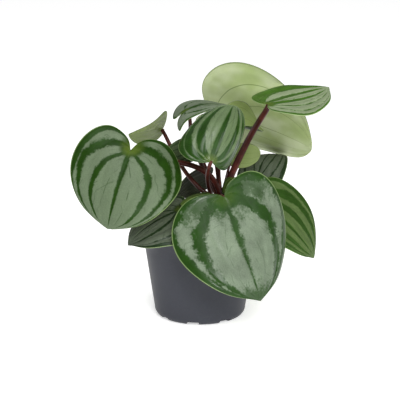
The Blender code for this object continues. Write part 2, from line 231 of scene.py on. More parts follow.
# ---------------------------------------------------------------- shading helpers
class Wiring:
    """Short ways to place and join the nodes of a shader tree."""

    def __init__(self, tree: bpy.types.NodeTree) -> None:
        """Keeps the node tree to work in."""
        self.tree = tree

    def node(self, kind: str, **settings: object) -> bpy.types.Node:
        """Adds a node and sets its options.

        Args:
            kind: Blender's name of the node type.
            settings: Options of the node.

        Returns:
            The new node.
        """
        made = self.tree.nodes.new(kind)
        for name, value in settings.items():
            setattr(made, name, value)
        return made

    def feed(self, socket: bpy.types.NodeSocket, value: object) -> None:
        """Joins an output to a socket, or sets the socket to a constant.

        Args:
            socket: The input socket.
            value: An output socket, a number or a color.
        """
        if isinstance(value, bpy.types.NodeSocket):
            self.tree.links.new(value, socket)
        elif isinstance(value, tuple) and len(value) == 3 and socket.type == "RGBA":
            socket.default_value = (*value, 1)
        else:
            socket.default_value = value

    def math(self, what: str, a: object, b: object = 0.0) -> bpy.types.NodeSocket:
        """One step of arithmetic.

        Args:
            what: Blender's name of the operation.
            a: First value.
            b: Second value.

        Returns:
            The result.
        """
        made = self.node("ShaderNodeMath", operation=what)
        self.feed(made.inputs[0], a)
        self.feed(made.inputs[1], b)
        return made.outputs[0]

    def add(self, a: object, b: object) -> bpy.types.NodeSocket:
        """Sum of two values."""
        return self.math("ADD", a, b)

    def sub(self, a: object, b: object) -> bpy.types.NodeSocket:
        """The first value less the second."""
        return self.math("SUBTRACT", a, b)

    def mul(self, a: object, b: object) -> bpy.types.NodeSocket:
        """Product of two values."""
        return self.math("MULTIPLY", a, b)

    def most(self, a: object, b: object) -> bpy.types.NodeSocket:
        """The larger of two values."""
        return self.math("MAXIMUM", a, b)

    def ease(self, value: object, low: object, high: object) -> bpy.types.NodeSocket:
        """Smooth rise from 0 at low to 1 at high. With low above high it falls instead.

        Args:
            value: The value that is judged.
            low: Where the rise starts.
            high: Where it ends.

        Returns:
            The smooth step.
        """
        made = self.node("ShaderNodeMapRange", interpolation_type="SMOOTHSTEP")
        self.feed(made.inputs["Value"], value)
        self.feed(made.inputs["From Min"], low)
        self.feed(made.inputs["From Max"], high)
        return made.outputs["Result"]

    def mix(self, share: object, a: object, b: object) -> bpy.types.NodeSocket:
        """Mixes two colors.

        Args:
            share: Share of the second color.
            a: First color.
            b: Second color.

        Returns:
            The mixed color.
        """
        made = self.node("ShaderNodeMix", data_type="RGBA")
        self.feed(made.inputs["Factor"], share)
        self.feed(made.inputs["A"], a)
        self.feed(made.inputs["B"], b)
        return made.outputs["Result"]

    def noise(self, where: object, scale: object, detail: float = 2.0) -> bpy.types.NodeSocket:
        """Soft random value around 0.5.

        Args:
            where: Coordinates.
            scale: Number of lumps in a metre.
            detail: Octaves of finer lumps.

        Returns:
            The noise value.
        """
        made = self.node("ShaderNodeTexNoise")
        self.feed(made.inputs["Vector"], where)
        self.feed(made.inputs["Scale"], scale)
        self.feed(made.inputs["Detail"], detail)
        return made.outputs["Fac"]

    def place(self) -> bpy.types.NodeSocket:
        """Object coordinates."""
        return self.node("ShaderNodeTexCoord").outputs["Object"]


def new_group(name: str, inputs: dict[str, float], outputs: list[str]) -> tuple[bpy.types.NodeTree, Wiring]:
    """Starts a shader node group with named float inputs and outputs.

    Args:
        name: Name of the group.
        inputs: Names of the inputs and their usual values.
        outputs: Names of the outputs.

    Returns:
        The group and its wiring.
    """
    tree = bpy.data.node_groups.new(name, "ShaderNodeTree")
    for label, value in inputs.items():
        socket = tree.interface.new_socket(name=label, in_out="INPUT", socket_type="NodeSocketFloat")
        socket.default_value = value
    for label in outputs:
        tree.interface.new_socket(name=label, in_out="OUTPUT", socket_type="NodeSocketFloat")
    return tree, Wiring(tree)


BAND_INPUTS = {
    "First band": 0.5,
    "Second band": 0.8,
    "Bold side": 0.0,
    "Fan": 10.0,
    "Midrib width": 0.05,
    "First width": 0.045,
    "Second width": 0.03,
    "Lobe margin": 0.12,
    "Tip margin": 0.04,
    "Softness": 0.012,
    "Mottle": 0.03,
    "Wobble": 0.05,
    "Lobe fill": 0.0,
    "Tip fill": 0.0,
    "Heart": 0.12,
}


def leaf_bands_group() -> bpy.types.NodeTree:
    """Where a leaf is green and where it is silver, and where its fine veins and its edge line run.

    The veins fan out from the stalk and then run alongside each other to the tip.

    Returns:
        The node group. Green is 1 on the bands along the veins, Vein on the thin veins, Edge on the
        edge line and Base near the stalk.
    """
    tree, w = new_group("leaf bands", BAND_INPUTS, ["Green", "Vein", "Edge", "Base"])
    given = w.node("NodeGroupInput").outputs
    result = w.node("NodeGroupOutput")
    uv = w.node("ShaderNodeUVMap", uv_map="UVMap").outputs["UV"]
    parts = w.node("ShaderNodeSeparateXYZ")
    w.feed(parts.inputs[0], uv)
    along = w.math("POWER", parts.outputs["Y"], CROWD)
    signed = w.sub(w.mul(parts.outputs["X"], 2.0), 1.0)
    away = w.math("ABSOLUTE", signed)
    where = w.place()
    wander = w.mul(w.sub(w.noise(where, 55.0, 1.0), 0.5), given["Wobble"])
    ragged = w.sub(w.noise(where, 620.0, 3.0), 0.5)
    patchy = w.sub(w.noise(where, 150.0, 3.0), 0.5)
    rough = w.mul(w.add(ragged, w.mul(patchy, 1.4)), given["Mottle"])

    fading = w.math("EXPONENT", w.mul(along, -6.5))
    broader = w.add(1.0, w.mul(fading, 1.2))
    fan = w.mul(fading, given["Fan"])
    fanned = w.math("POWER", away, w.math("DIVIDE", 1.0, w.add(fan, 1.0)))
    fanned = w.add(fanned, wander)
    bold = w.add(1.0, w.mul(w.math("SIGN", signed), given["Bold side"]))

    def band(middle: object, width: object, stop: float) -> bpy.types.NodeSocket:
        """One green band, broader near the stalk.

        Args:
            middle: Its place across the leaf.
            width: Half its width.
            stop: How far along the leaf it fades out.

        Returns:
            Its mask.
        """
        gap = w.add(w.math("ABSOLUTE", w.sub(fanned, middle)), rough)
        half = w.mul(width, w.mul(broader, bold))
        inner = w.sub(half, given["Softness"])
        outer = w.add(half, given["Softness"])
        mask = w.ease(gap, outer, inner)
        return w.mul(mask, w.ease(along, stop + 0.10, stop - 0.02))

    turn = w.mul(along, math.pi)
    forward = w.mul(w.sub(1.0, w.math("COSINE", turn)), 0.5)
    outward = w.mul(away, w.mul(w.math("POWER", w.math("SINE", turn), ROUNDNESS), 0.6))
    reach = w.math("SQRT", w.add(w.mul(forward, forward), w.mul(outward, outward)))
    near = w.add(reach, w.mul(rough, 0.6))

    taper = w.mul(given["Midrib width"], w.sub(1.5, w.mul(along, 1.1)))
    centre = w.ease(
        w.add(away, w.mul(rough, 0.7)),
        w.add(taper, given["Softness"]),
        w.sub(taper, given["Softness"]),
    )
    green = w.mul(centre, w.ease(along, 0.96, 0.88))
    green = w.most(green, band(given["First band"], given["First width"], 0.86))
    green = w.most(green, band(given["Second band"], given["Second width"], 0.80))
    margin = w.add(given["Tip margin"], w.mul(w.ease(along, 0.62, 0.32),
        w.sub(given["Lobe margin"], given["Tip margin"]),
    ))
    limit = w.sub(1.0, w.mul(margin, bold))
    past = w.sub(w.add(away, wander), w.mul(rough, 0.8))
    green = w.most(green, w.ease(
        past,
        w.sub(limit, given["Softness"]),
        w.add(limit, given["Softness"]),
    ))
    lobes = w.ease(w.add(along, w.mul(rough, 2.0)), 0.34, 0.22)
    green = w.most(green, w.mul(lobes, given["Lobe fill"]))
    point = w.ease(w.add(along, w.mul(rough, 2.0)), 0.76, 0.88)
    green = w.most(green, w.mul(point, given["Tip fill"]))
    heart = w.ease(near, w.add(given["Heart"], 0.07), given["Heart"])
    w.feed(result.inputs["Green"], w.most(green, heart))

    slant = w.sub(w.mul(along, 10.0), w.mul(away, 5.0))
    slant = w.math("FRACT", w.add(slant, w.mul(w.noise(where, 60.0, 1.0), 2.5)))
    twigs = w.ease(w.math("ABSOLUTE", w.sub(slant, 0.5)), 0.07, 0.02)
    twigs = w.mul(twigs, w.ease(w.noise(where, 95.0, 1.0), 0.50, 0.60))
    quarter = w.sub(fanned, w.mul(given["First band"], FAINT_VEIN))
    quarter = w.ease(w.math("ABSOLUTE", quarter), 0.012, 0.004)
    quarter = w.mul(quarter, w.ease(w.noise(where, 70.0, 1.0), 0.45, 0.6))
    w.feed(result.inputs["Vein"], w.most(w.mul(twigs, 0.6), quarter))
    w.feed(result.inputs["Edge"], w.ease(away, 0.976, 0.992))
    w.feed(result.inputs["Base"], w.ease(near, 0.14, 0.02))
    return tree


def leaf_relief_group() -> bpy.types.NodeTree:
    """Fine relief of a fleshy leaf: quilting, tiny cells and sunken veins.

    Returns:
        The node group, with the height in its output.
    """
    tree, w = new_group("leaf relief", {"Quilt": 1.0, "Cells": 1.0, "Vein": 0.0}, ["Height"])
    given = w.node("NodeGroupInput")
    result = w.node("NodeGroupOutput")
    where = w.place()
    quilt = w.node("ShaderNodeTexVoronoi", feature="SMOOTH_F1")
    w.feed(quilt.inputs["Vector"], where)
    w.feed(quilt.inputs["Scale"], 260.0)
    raised = w.mul(quilt.outputs["Distance"], w.mul(given.outputs["Quilt"], -0.5))
    cells = w.mul(w.noise(where, 1900.0, 2.0), w.mul(given.outputs["Cells"], 0.35))
    height = w.add(raised, cells)
    height = w.sub(height, w.mul(given.outputs["Vein"], 0.5))
    w.feed(result.inputs["Height"], height)
    return tree


def speckle_group() -> bpy.types.NodeTree:
    """Uneven tone: broad cloudiness and fine grain, around 1.

    Returns:
        The node group, with the tone in its output.
    """
    tree, w = new_group("speckle", {"Scale": 60.0, "Cloud": 0.2, "Grain": 0.1}, ["Tone"])
    given = w.node("NodeGroupInput")
    result = w.node("NodeGroupOutput")
    where = w.place()
    cloud = w.sub(w.noise(where, given.outputs["Scale"], 3.0), 0.5)
    grain = w.sub(w.noise(where, w.mul(given.outputs["Scale"], 14.0), 2.0), 0.5)
    tone = w.add(1.0, w.mul(cloud, given.outputs["Cloud"]))
    tone = w.add(tone, w.mul(grain, given.outputs["Grain"]))
    w.feed(result.inputs["Tone"], tone)
    return tree


GROUPS: dict[str, bpy.types.NodeTree] = {}


def build_groups() -> None:
    """Builds the shader node groups that the finishes share."""
    GROUPS["bands"] = leaf_bands_group()
    GROUPS["relief"] = leaf_relief_group()
    GROUPS["speckle"] = speckle_group()


def use_group(w: Wiring, key: str, values: dict[str, object]) -> bpy.types.Node:
    """Places a shared group in a material.

    Args:
        w: The material's wiring.
        key: Which group.
        values: What its inputs are set or joined to.

    Returns:
        The group node.
    """
    made = w.node("ShaderNodeGroup")
    made.node_tree = GROUPS[key]
    for label, value in values.items():
        w.feed(made.inputs[label], value)
    return made


def start_material(name: str, roughness: float) -> tuple[bpy.types.Material, Wiring, bpy.types.Node]:
    """A new material with its Principled shader.

    Args:
        name: Name of the material.
        roughness: Roughness all over.

    Returns:
        The material, its wiring and its shader node.
    """
    made = bpy.data.materials.new(name)
    made.use_nodes = True
    w = Wiring(made.node_tree)
    shader = made.node_tree.nodes["Principled BSDF"]
    shader.inputs["Roughness"].default_value = roughness
    return made, w, shader


def tint(w: Wiring, color: object, tone: object) -> bpy.types.NodeSocket:
    """Makes a color lighter or darker by a tone around 1.

    Args:
        w: The material's wiring.
        color: The color.
        tone: The tone.

    Returns:
        The tinted color.
    """
    made = w.node("ShaderNodeVectorMath", operation="SCALE")
    w.feed(made.inputs[0], color)
    w.feed(made.inputs["Scale"], tone)
    return made.outputs[0]


def bump(w: Wiring, shader: bpy.types.Node, height: object, strength: float, depth: float) -> None:
    """Feeds a bump to a shader.

    Args:
        w: The material's wiring.
        shader: The shader node.
        height: The height value.
        strength: Strength of the bump.
        depth: Depth in metres that a height of 1 stands for.
    """
    made = w.node("ShaderNodeBump")
    made.inputs["Strength"].default_value = strength
    made.inputs["Distance"].default_value = depth
    w.feed(made.inputs["Height"], height)
    w.feed(shader.inputs["Normal"], made.outputs["Normal"])


# ---------------------------------------------------------------- finishes
@dataclass(frozen=True)
class LeafTop:
    """Upper side of a leaf: silver between green bands along the veins."""

    name: str
    silver: Color
    green: Color
    lime: Color = (0.085, 0.125, 0.012)
    edge: Color = (0.22, 0.31, 0.12)
    first_band: float = 0.55
    second_band: float = 0.85
    bold_side: float = 0.0
    fan: float = 10.0
    midrib_width: float = 0.050
    first_width: float = 0.052
    second_width: float = 0.040
    lobe_margin: float = 0.13
    tip_margin: float = 0.035
    softness: float = 0.012
    mottle: float = 0.030
    wobble: float = 0.05
    lobe_fill: float = 0.0
    tip_fill: float = 0.0
    heart: float = 0.08
    vein: float = 0.6
    quilt: float = 0.5
    roughness: float = 0.42
    specular: float = 0.14
    coat: float = 0.02
    cloud: float = 0.35

    def make(self) -> bpy.types.Material:
        """Builds the material.

        Returns:
            The material.
        """
        made, w, shader = start_material(self.name, self.roughness)
        values = {label: getattr(self, label.lower().replace(" ", "_")) for label in BAND_INPUTS}
        bands = use_group(w, "bands", values)
        pearl = use_group(w, "speckle", {"Scale": 75.0, "Cloud": self.cloud, "Grain": 0.5})
        depth = use_group(w, "speckle", {"Scale": 110.0, "Cloud": 0.9, "Grain": 0.3})
        silver = tint(w, self.silver, pearl.outputs[0])
        green = tint(w, self.green, depth.outputs[0])
        silver = w.mix(w.mul(bands.outputs["Vein"], self.vein), silver, green)
        color = w.mix(bands.outputs["Green"], silver, green)
        color = w.mix(w.mul(bands.outputs["Base"], 0.6), color, self.lime)
        color = w.mix(w.mul(bands.outputs["Edge"], 0.75), color, self.edge)
        w.feed(shader.inputs["Base Color"], color)
        shader.inputs["Specular IOR Level"].default_value = self.specular
        shader.inputs["Coat Weight"].default_value = self.coat
        shader.inputs["Coat Roughness"].default_value = 0.2
        relief = use_group(w, "relief", {"Quilt": self.quilt, "Cells": 0.6, "Vein": bands.outputs["Vein"]})
        bump(w, shader, relief.outputs["Height"], 0.55, 0.0007)
        return made


@dataclass(frozen=True)
class LeafUnder:
    """Underside of a leaf: pale green with fine darker veins and a dark edge line."""

    name: str
    pale: Color
    deep: Color
    line: Color
    first_band: float = 0.50
    second_band: float = 0.80
    roughness: float = 0.5

    def make(self) -> bpy.types.Material:
        """Builds the material.

        Returns:
            The material.
        """
        made, w, shader = start_material(self.name, self.roughness)
        veins = use_group(w, "bands", {
            "First band": self.first_band,
            "Second band": self.second_band,
            "Midrib width": 0.006,
            "First width": 0.004,
            "Second width": 0.004,
            "Lobe margin": 0.0,
            "Tip margin": 0.0,
            "Softness": 0.003,
            "Mottle": 0.0,
            "Wobble": 0.02,
            "Heart": 0.0,
        })
        where = w.place()
        cloud = w.ease(w.noise(where, 38.0, 2.0), 0.36, 0.66)
        color = w.mix(cloud, self.pale, self.deep)
        tone = use_group(w, "speckle", {"Scale": 90.0, "Cloud": 0.25, "Grain": 0.12})
        color = tint(w, color, tone.outputs[0])
        color = w.mix(w.mul(veins.outputs["Green"], 0.85), color, self.line)
        color = w.mix(w.mul(veins.outputs["Edge"], 0.8), color, self.line)
        w.feed(shader.inputs["Base Color"], color)
        shader.inputs["Specular IOR Level"].default_value = 0.14
        relief = use_group(w, "relief", {"Quilt": 0.25, "Cells": 0.4, "Vein": 0.0})
        bump(w, shader, relief.outputs["Height"], 0.35, 0.0005)
        return made


@dataclass(frozen=True)
class LeafRim:
    """Thin fleshy edge of a blade."""

    name: str
    color: Color
    roughness: float = 0.45

    def make(self) -> bpy.types.Material:
        """Builds the material.

        Returns:
            The material.
        """
        made, w, shader = start_material(self.name, self.roughness)
        tone = use_group(w, "speckle", {"Scale": 160.0, "Cloud": 0.5, "Grain": 0.1})
        w.feed(shader.inputs["Base Color"], tint(w, self.color, tone.outputs[0]))
        return made


@dataclass(frozen=True)
class StalkFinish:
    """Smooth, slightly glossy skin of the stalks."""

    name: str
    color: Color
    bright: Color
    roughness: float = 0.36

    def make(self) -> bpy.types.Material:
        """Builds the material.

        Returns:
            The material.
        """
        made, w, shader = start_material(self.name, self.roughness)
        where = w.place()
        patch = w.ease(w.noise(where, 75.0, 3.0), 0.42, 0.66)
        color = w.mix(patch, self.color, self.bright)
        tone = use_group(w, "speckle", {"Scale": 120.0, "Cloud": 0.5, "Grain": 0.35})
        w.feed(shader.inputs["Base Color"], tint(w, color, tone.outputs[0]))
        shader.inputs["Specular IOR Level"].default_value = 0.22
        bump(w, shader, w.noise(where, 900.0, 3.0), 0.25, 0.0002)
        return made


@dataclass(frozen=True)
class PotFinish:
    """Moulded dark grey plastic with a fine satin grain."""

    name: str
    color: Color
    roughness: float = 0.42

    def make(self) -> bpy.types.Material:
        """Builds the material.

        Returns:
            The material.
        """
        made, w, shader = start_material(self.name, self.roughness)
        tone = use_group(w, "speckle", {"Scale": 45.0, "Cloud": 0.18, "Grain": 0.16})
        w.feed(shader.inputs["Base Color"], tint(w, self.color, tone.outputs[0]))
        worn = w.add(self.roughness - 0.05, w.mul(w.noise(w.place(), 120.0, 3.0), 0.12))
        w.feed(shader.inputs["Roughness"], worn)
        shader.inputs["Specular IOR Level"].default_value = 0.12
        bump(w, shader, w.noise(w.place(), 2400.0, 2.0), 0.15, 0.0001)
        return made


@dataclass(frozen=True)
class SoilFinish:
    """Moist dark potting soil."""

    name: str
    dark: Color
    light: Color

    def make(self) -> bpy.types.Material:
        """Builds the material.

        Returns:
            The material.
        """
        made, w, shader = start_material(self.name, 0.9)
        where = w.place()
        grain = w.ease(w.noise(where, 420.0, 4.0), 0.45, 0.7)
        w.feed(shader.inputs["Base Color"], w.mix(grain, self.dark, self.light))
        bump(w, shader, w.noise(where, 700.0, 4.0), 0.9, 0.0012)
        return made


class Upper(Enum):
    """The looks that an upper side can have."""

    BANDED = LeafTop(
        "leaf top banded", silver=(0.104, 0.141, 0.082), green=(0.011, 0.037, 0.002), first_band=0.61,
        second_band=0.87, midrib_width=0.045, first_width=0.045, second_width=0.037, softness=0.018,
        mottle=0.050, specular=0.10,
    )
    BROAD = LeafTop(
        "leaf top broad silver", silver=(0.125, 0.162, 0.108), green=(0.012, 0.042, 0.003),
        lime=(0.035, 0.070, 0.006), first_band=0.73, second_band=0.99, midrib_width=0.052,
        first_width=0.075, second_width=0.03, lobe_margin=0.08, tip_margin=0.17, mottle=0.12,
        softness=0.03, lobe_fill=0.75, tip_fill=0.8, heart=0.14, roughness=0.34, specular=0.20, coat=0.10,
        vein=0.35, quilt=0.9, cloud=1.0,
    )
    PUFFED = LeafTop(
        "leaf top puffed", silver=(0.092, 0.136, 0.062), green=(0.012, 0.044, 0.002), first_band=0.50,
        second_band=0.78, midrib_width=0.085, first_width=0.085, second_width=0.075, lobe_margin=0.17,
        tip_margin=0.10, softness=0.022, mottle=0.04, roughness=0.30, coat=0.28, vein=0.7, quilt=0.5,
        heart=0.06, fan=3.0, specular=0.24,
    )
    OLIVE = LeafTop(
        "leaf top olive", silver=(0.078, 0.122, 0.038), green=(0.022, 0.060, 0.006), first_band=0.50,
        second_band=0.80, midrib_width=0.07, first_width=0.085, second_width=0.065, lobe_margin=0.14,
        tip_margin=0.10, mottle=0.045, roughness=0.38,
    )
    SILVERED = LeafTop(
        "leaf top silvered", silver=(0.120, 0.150, 0.100), green=(0.018, 0.050, 0.006), first_band=0.42,
        second_band=0.80, midrib_width=0.13, first_width=0.03, second_width=0.02, lobe_margin=0.07,
        tip_margin=0.05, mottle=0.06,
    )
    LACED = LeafTop(
        "leaf top laced", silver=(0.205, 0.258, 0.145), green=(0.040, 0.104, 0.009), first_band=0.40,
        second_band=0.74, bold_side=-0.6, midrib_width=0.085, first_width=0.050, second_width=0.035,
        lobe_margin=0.24, tip_margin=0.17, mottle=0.06, vein=1.0, fan=3.0,
    )
    # Much darker silver and green than the other looks: painted shade for upper sides that lie in shadow
    # behind other leaves.
    DARK = LeafTop(
        "leaf top painted deep shade", silver=(0.040, 0.060, 0.024), green=(0.012, 0.030, 0.005), mottle=0.06, vein=0.5,
    )
    # Darkened silver and green: painted shade for leaves that hang in shadow under and behind the front
    # leaves.
    SHADED = LeafTop(
        "leaf top shaded", silver=(0.085, 0.104, 0.073), green=(0.010, 0.024, 0.007), first_band=0.45,
        second_band=0.76, midrib_width=0.035, first_width=0.028, second_width=0.022, lobe_margin=0.15,
        tip_margin=0.12, mottle=0.06, roughness=0.36, vein=0.9, coat=0.12,
    )
    YOUNG = LeafTop(
        "leaf top young", silver=(0.070, 0.110, 0.018), green=(0.030, 0.060, 0.006), midrib_width=0.10,
        first_width=0.08, second_width=0.07, lobe_margin=0.2, tip_margin=0.2, roughness=0.35,
    )


class Under(Enum):
    """The looks that an underside can have."""

    PALE = LeafUnder(
        "leaf underside pale", pale=(0.43, 0.49, 0.29), deep=(0.30, 0.375, 0.155),
        line=(0.12, 0.17, 0.05),
    )
    OLIVE = LeafUnder(
        "leaf underside olive", pale=(0.21, 0.27, 0.10), deep=(0.15, 0.20, 0.06), line=(0.05, 0.07, 0.02),
    )
    # Near-black greens: painted shade for an underside that lies in shadow behind the crown.
    DIM = LeafUnder(
        "leaf underside painted shade", pale=(0.060, 0.066, 0.045), deep=(0.040, 0.046, 0.028),
        line=(0.020, 0.030, 0.012),
    )


class Rim(Enum):
    """The looks that a blade's edge can have."""

    LIGHT = LeafRim("leaf edge light", color=(0.26, 0.34, 0.15))
    DARK = LeafRim("leaf edge dark", color=(0.10, 0.13, 0.06))


STALK = StalkFinish("stalk skin", color=(0.036, 0.008, 0.006), bright=(0.085, 0.018, 0.013))
BUD = StalkFinish("bud skin", color=(0.36, 0.44, 0.26), bright=(0.42, 0.48, 0.32))
POT_PLASTIC = PotFinish("pot plastic", color=(0.043, 0.045, 0.055))
SOIL = SoilFinish("potting soil", dark=(0.010, 0.007, 0.004), light=(0.035, 0.024, 0.014))


# ---------------------------------------------------------------- leaves
class Detail(Enum):
    """How finely a blade is modelled, as cells across and along."""

    BIG = (112, 72)
    SMALL = (56, 40)


@dataclass(frozen=True)
class LeafForm:
    """One leaf: where it meets its stalk, how it lies, its outline, its bends, its stalk and its looks.

    Heading 0 points along +X and 90 along +Y. Pitch lifts the tip, and roll lifts the left half, as seen
    from the stalk. Angles are in degrees, lengths in metres.
    """

    node: str
    place: Point
    heading: float
    pitch: float
    roll: float
    length: float
    width: float
    lobe: float = 0.010
    lobe_skew: float = 0.0
    skew: float = 0.0
    point: float = 0.0
    cup: Flat = (5.0, 5.0)
    droop: float = 10.0
    curl: float = 5.0
    back: float = 0.0
    twist: float = 0.0
    bend: float = 0.0
    wave: float = 0.0
    puff: float = 0.0
    petiole: float = 0.0015
    base: float = 0.087
    rise: float = 0.020
    spread: float = 0.5
    swing: float = 0.0
    reach: float = 0.020
    lean: float = 0.6
    upper: Upper = Upper.BANDED
    under: Under = Under.PALE
    rim: Rim = Rim.LIGHT
    detail: Detail = Detail.SMALL

    def axes(self) -> np.ndarray:
        """The blade's own directions: to the tip, to its left and up out of its upper side.

        Returns:
            One direction in each row.
        """
        heading, pitch, roll = (math.radians(a) for a in (self.heading, self.pitch, self.roll))
        flat = math.cos(pitch)
        tip = np.array((flat * math.cos(heading), flat * math.sin(heading), math.sin(pitch)))
        level = np.array((-math.sin(heading), math.cos(heading), 0.0))
        left = level * math.cos(roll) + np.cross(tip, level) * math.sin(roll)
        return np.stack((tip, left, np.cross(tip, left)))

    def midrib(self, along: np.ndarray) -> np.ndarray:
        """Distance from the stalk along the midrib."""
        drawn_out = self.point * np.exp((along - 1) / 0.05)
        return self.length * (0.5 - 0.5 * np.cos(np.pi * along)) ** 1.06 + drawn_out

    def margin(self, side: np.ndarray, along: np.ndarray) -> tuple[np.ndarray, np.ndarray]:
        """How far forward and how far out the edge is, along 0 at the stalk to 1 at the tip.

        Args:
            side: 1 on the left half and -1 on the right half.
            along: 0 at the stalk and 1 at the tip.

        Returns:
            The distances forward and outward.
        """
        turn = np.pi * along
        out = 0.5 * self.width * np.sin(np.clip(turn, 0, np.pi)) ** ROUNDNESS * (1 + 0.2 * np.cos(turn))
        out = out * (1 - 0.6 * np.exp(-((along / 0.05) ** 2)))
        out = out * (1 - 0.3 * np.exp(-(((1 - along) / 0.13) ** 2)))
        swell = along / 0.13 * np.exp(1 - along / 0.13)
        forward = self.midrib(along) - (self.lobe + side * self.lobe_skew) * swell
        return forward, out * (1 + side * self.skew)

    def relief(self, across: np.ndarray, along: np.ndarray) -> np.ndarray:
        """Height of the quilted blade: it swells between the veins and sinks along them.

        Args:
            across: -1 and 1 on the two edges and 0 on the midrib.
            along: 0 at the stalk and 1 at the tip.

        Returns:
            The heights.
        """
        look = self.upper.value
        away = np.abs(across)
        sunk = np.exp(-((away / 0.055) ** 2))
        for place, width, depth in (
            (look.first_band * FAINT_VEIN, 0.045, 0.45),
            (look.first_band, 0.075, 1.0),
            (look.second_band, 0.060, 0.9),
            (1.0, 0.060, 0.8),
        ):
            sunk = np.maximum(sunk, depth * np.exp(-(((away - place) / width) ** 2)))
        return self.puff * (1 - sunk) * np.sin(np.pi * np.clip(along, 0, 1)) ** 0.7

    def arched(self, share: np.ndarray) -> tuple[np.ndarray, np.ndarray, np.ndarray]:
        """The midrib as it droops: forward, height and slope at a share of the leaf's length.

        Args:
            share: Shares of the leaf's length from the stalk.

        Returns:
            The distances forward, the heights and the slopes.
        """
        steps = np.linspace(-0.7, 1.05, 71)
        slope = -np.radians(self.droop) * steps - np.radians(self.curl) * np.clip(steps, 0, 2) ** 3
        slope = slope - np.radians(self.back) * np.clip(steps, -1, 0)
        pace = self.length * (steps[1] - steps[0])
        run = np.concatenate(((0,), np.cumsum((np.cos(slope[1:]) + np.cos(slope[:-1])) / 2))) * pace
        rise = np.concatenate(((0,), np.cumsum((np.sin(slope[1:]) + np.sin(slope[:-1])) / 2))) * pace
        run = run - np.interp(0, steps, run)
        rise = rise - np.interp(0, steps, rise)
        return np.interp(share, steps, run), np.interp(share, steps, rise), np.interp(share, steps, slope)

    def points(self, across: np.ndarray, along: np.ndarray) -> np.ndarray:
        """Points of the middle of the blade.

        Args:
            across: -1 and 1 on the two edges and 0 on the midrib.
            along: 0 at the stalk and 1 at the tip.

        Returns:
            The points, one row each.
        """
        side = np.where(across >= 0, 1.0, -1.0)
        edge, out = self.margin(side, along)
        share = np.abs(across) ** 1.7
        forward = (1 - share) * self.midrib(along) + share * edge
        out = np.abs(across) * out
        bow = np.radians(np.where(across >= 0, self.cup[0], self.cup[1])) / 0.010
        bow = np.where(np.abs(bow) < 0.01, 0.01, bow)
        y = side * np.sin(bow * out) / bow
        z = (np.cos(bow * out) - 1) / bow + self.relief(across, along)
        z = z + self.wave * share * np.sin(4 * np.pi * along + side) * np.sin(np.pi * along)
        turn = np.radians(self.twist) * forward / self.length
        y, z = y * np.cos(turn) - z * np.sin(turn), y * np.sin(turn) + z * np.cos(turn)
        y = y + self.bend * forward ** 2 / self.length
        x, drop, slope = self.arched(forward / self.length)
        local = np.stack((x - z * np.sin(slope), y, drop + z * np.cos(slope)), axis=-1)
        return local @ self.axes() + np.array(self.place)


CROWN = (0.016, 0.010)
CROWN_TOP = 0.091
BLADE = 0.0009
STALK_TAPER = 0.75

